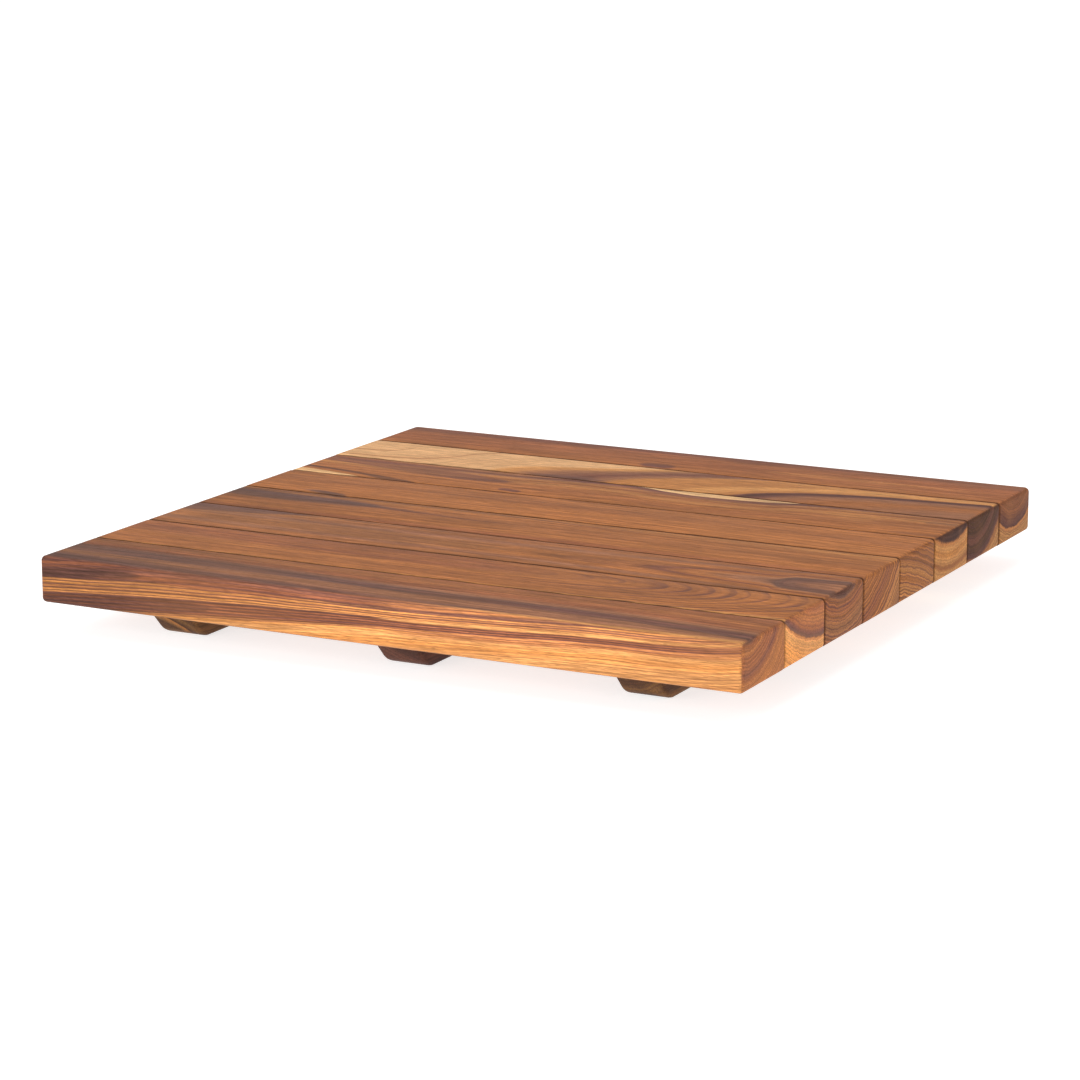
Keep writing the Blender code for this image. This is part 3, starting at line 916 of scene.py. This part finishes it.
def make_slat(row, cutters):
    """A slat that stops a little inside the mat's ends and lies a little low, as its look says."""
    node, look = f"slat_{row + 1}", SLATS[row]
    centre, size = box_of(node)
    left, right = look["short"]
    size.x -= (left + right) * MM
    size.z -= look["low"] * MM
    centre.x += (left - right) * MM / 2
    centre.z -= look["low"] * MM / 2
    mesh = box_mesh(f"teak_{node}", *size)
    joints = [side for side in (-1, 1) if 0 <= row + side < SLAT_COUNT]

    def weight_of(middle):
        at_joint = any(middle.y * side > size.y / 4 for side in joints)
        return JOINT_ROUNDING / OUTER_ROUNDING if at_joint else 1.0

    weight_edges(mesh, weight_of)
    slat = new_object(mesh.name, mesh, centre)
    add_bevel(slat, "rounding", OUTER_ROUNDING, ROUNDING_SEGMENTS, "WEIGHT")
    add_screw_ways(slat, cutters)
    apply_modifiers(slat)
    smooth(slat.data, WOOD_SMOOTHED_TO)
    slat.data.materials.clear()
    slat.data.materials.append(wood_material(slat.name, size / MM, look, row + 1, joints))
    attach(slat, "root")
    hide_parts(node)


def make_batten(column, cutters):
    """A batten, made along X and turned, with cut ends, rounded where each cut meets the underside."""
    node, look = f"batten_{BATTENS[column]}", BATTEN_LOOKS[BATTENS[column]]
    centre, size = box_of(node)
    width, length, height = size
    mesh = box_mesh(f"teak_{node}", length, width, height, BATTEN_CHAMFER)

    def weight_of(middle):
        on_underside = middle.z < ON_FACE - height / 2
        return 1.0 if abs(middle.y) < width / 4 and on_underside else 0.0

    weight_edges(mesh, weight_of)
    batten = new_object(mesh.name, mesh, centre)
    batten.rotation_euler.z = math.radians(90)
    add_bevel(batten, "foot_rounding", BATTEN_FOOT_ROUNDING, ROUNDING_SEGMENTS, "WEIGHT")
    add_bevel(batten, "rounding", BATTEN_ROUNDING, BATTEN_ROUNDING_SEGMENTS, "ANGLE")
    add_screw_ways(batten, cutters)
    apply_modifiers(batten)
    smooth(batten.data, WOOD_SMOOTHED_TO)
    batten.data.materials.clear()
    size = (length / MM, width / MM, height / MM)
    batten.data.materials.append(wood_material(batten.name, size, look, BATTEN_SEED + column))
    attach(batten, "root")
    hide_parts(node)


# Stainless steel
STEEL_DARK = (0.46, 0.45, 0.43, 1.0)
STEEL_LIGHT = (0.70, 0.69, 0.67, 1.0)
LATHE_SIZE = 0.12           # mm
LATHE_SHADE = 0.08
HAZE_SIZE = (1.6, 1.6, 1.6)
HAZE_RANGE = (0.2, 0.8)
STEEL_ROUGHNESS = (0.2, 0.36)
LATHE_ROUGHNESS = 0.12
LATHE_RELIEF_STRENGTH = 0.3
LATHE_RELIEF_HEIGHT = 0.00002


def steel_material():
    """Steel with the fine circles of a lathe around the screw's axis, and a haze over it."""
    g = Graph("stainless_steel")
    g.shader.inputs["Metallic"].default_value = 1.0
    place = g.vector("SCALE", g.node("TexCoord").outputs["Object"], 1 / MM)
    x, y, _ = g.split(place)
    turned = g.math("SQRT", g.math("ADD", g.math("MULTIPLY", x, x), g.math("MULTIPLY", y, y)))
    lathe = g.line_noise(turned, LATHE_SIZE, 5, 2.0)
    haze = g.noise(place, HAZE_SIZE, 3, 3.0)
    colour = g.mix(haze, STEEL_DARK, STEEL_LIGHT)
    g.feed(g.shader.inputs["Base Color"], shade(g, colour, lathe, LATHE_SHADE))
    rough = g.step(haze, *HAZE_RANGE, *STEEL_ROUGHNESS)
    g.feed(g.shader.inputs["Roughness"], g.math("MULTIPLY_ADD", lathe, LATHE_ROUGHNESS, rough))
    g.bump(lathe, LATHE_RELIEF_STRENGTH, LATHE_RELIEF_HEIGHT)
    return g.material


def make_fastened_wood():
    """The screws, and the slats and battens with the holes they lie in."""
    names = [f"screw_{batten}_{row + 1}" for batten in BATTENS for row in range(SLAT_COUNT)]
    _, size = box_of(names[0])
    screw = screw_mesh(size.x, size.z)
    smooth(screw, SCREW_SMOOTHED_TO)
    screw.materials.append(steel_material())
    way = screw_way_mesh(size.x, size.z)
    cutters = bpy.data.collections.new("screw_ways")
    for name in names:
        centre, size = box_of(name)
        seat = (centre.x, centre.y, centre.z - size.z / 2)
        thing = new_object(f"steel_{name}", screw, seat)
        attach(thing, "root")
        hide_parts(name)
        cutter = bpy.data.objects.new(f"way_{name}", way)
        cutter.location = seat
        cutters.objects.link(cutter)
    bpy.context.scene.collection.children.link(cutters)
    for row in range(SLAT_COUNT):
        make_slat(row, cutters)
    for column in range(len(BATTENS)):
        make_batten(column, cutters)
    for cutter in list(cutters.objects):
        bpy.data.objects.remove(cutter, do_unlink=True)
    bpy.data.collections.remove(cutters)


# ---- stage

CAMERA_AIM = Vector((-0.0103, -0.0026, 0.0353))
CAMERA_AZIMUTH = 27.25
CAMERA_ELEVATION = 12.82
CAMERA_DISTANCE = 2.1669
CAMERA_LENS = 116.0
CAMERA_SENSOR = 36.0

# Name, azimuth, elevation, distance and diameter in metres, and watts
LAMPS = (
    ("front_light", -20, 16, 2.2, 1.2, 30.0),
    ("top_light", -10, 76, 2.6, 2.2, 28.0),
    ("side_light", 100, 10, 2.2, 1.2, 6.0),
)
LAMP_AIM = Vector((0.0, 0.0, 0.03))
WORLD_STRENGTH = 0.55

FLOOR_REACH = 20.0
FLOOR_DROP = 0.0002         # just clear of the battens that stand on it
FLOOR_BASE = 0.55
FLOOR_ROUGHNESS = 0.9
FLOOR_GLOW = 0.75
WHITE = grey(1.0)


def direction(azimuth, elevation):
    """From the object towards a place around it. Azimuth 0 is in front of it and 90 to its right."""
    a, e = math.radians(azimuth), math.radians(elevation)
    return Vector((math.sin(a) * math.cos(e), -math.cos(a) * math.cos(e), math.sin(e)))


def aim(thing, azimuth, elevation, distance, target):
    thing.location = target + direction(azimuth, elevation) * distance
    thing.rotation_euler = (math.radians(90 - elevation), 0.0, math.radians(azimuth))


def make_camera():
    camera = bpy.data.cameras.new("camera")
    camera.lens = CAMERA_LENS
    camera.sensor_width = CAMERA_SENSOR
    viewer = new_object("camera", camera)
    aim(viewer, CAMERA_AZIMUTH, CAMERA_ELEVATION, CAMERA_DISTANCE, CAMERA_AIM)
    bpy.context.scene.camera = viewer


def see_through_from_below(g):
    """Let a view from under the floor show the mat's underside."""
    pick = g.node("MixShader")
    g.feed(pick.inputs[0], g.node("NewGeometry").outputs["Backfacing"])
    g.feed(pick.inputs[1], g.shader.outputs[0])
    g.feed(pick.inputs[2], g.node("BsdfTransparent").outputs[0])
    g.feed(g.tree.nodes["Material Output"].inputs["Surface"], pick.outputs[0])


def make_floor():
    mesh = bpy.data.meshes.new("floor")
    shape = bmesh.new()
    bmesh.ops.create_grid(shape, x_segments=1, y_segments=1, size=FLOOR_REACH)
    shape.to_mesh(mesh)
    shape.free()
    floor = new_object("floor", mesh, (0.0, 0.0, -FLOOR_DROP))
    paper = Graph("white_floor")
    paper.shader.inputs["Base Color"].default_value = grey(FLOOR_BASE)
    paper.shader.inputs["Roughness"].default_value = FLOOR_ROUGHNESS
    paper.shader.inputs["Specular IOR Level"].default_value = 0.0
    paper.shader.inputs["Emission Color"].default_value = WHITE
    paper.shader.inputs["Emission Strength"].default_value = FLOOR_GLOW
    see_through_from_below(paper)
    mesh.materials.append(paper.material)


def make_light():
    scene = bpy.context.scene
    world = bpy.data.worlds.new("studio")
    world.use_nodes = True
    world.node_tree.nodes["Background"].inputs["Color"].default_value = WHITE
    world.node_tree.nodes["Background"].inputs["Strength"].default_value = WORLD_STRENGTH
    scene.world = world
    scene.view_settings.view_transform = "Standard"
    for name, azimuth, elevation, distance, diameter, watts in LAMPS:
        lamp = bpy.data.lights.new(name, "AREA")
        lamp.shape = "DISK"
        lamp.size = diameter
        lamp.energy = watts
        aim(new_object(name, lamp), azimuth, elevation, distance, LAMP_AIM)


make_fastened_wood()
make_camera()
make_floor()
make_light()
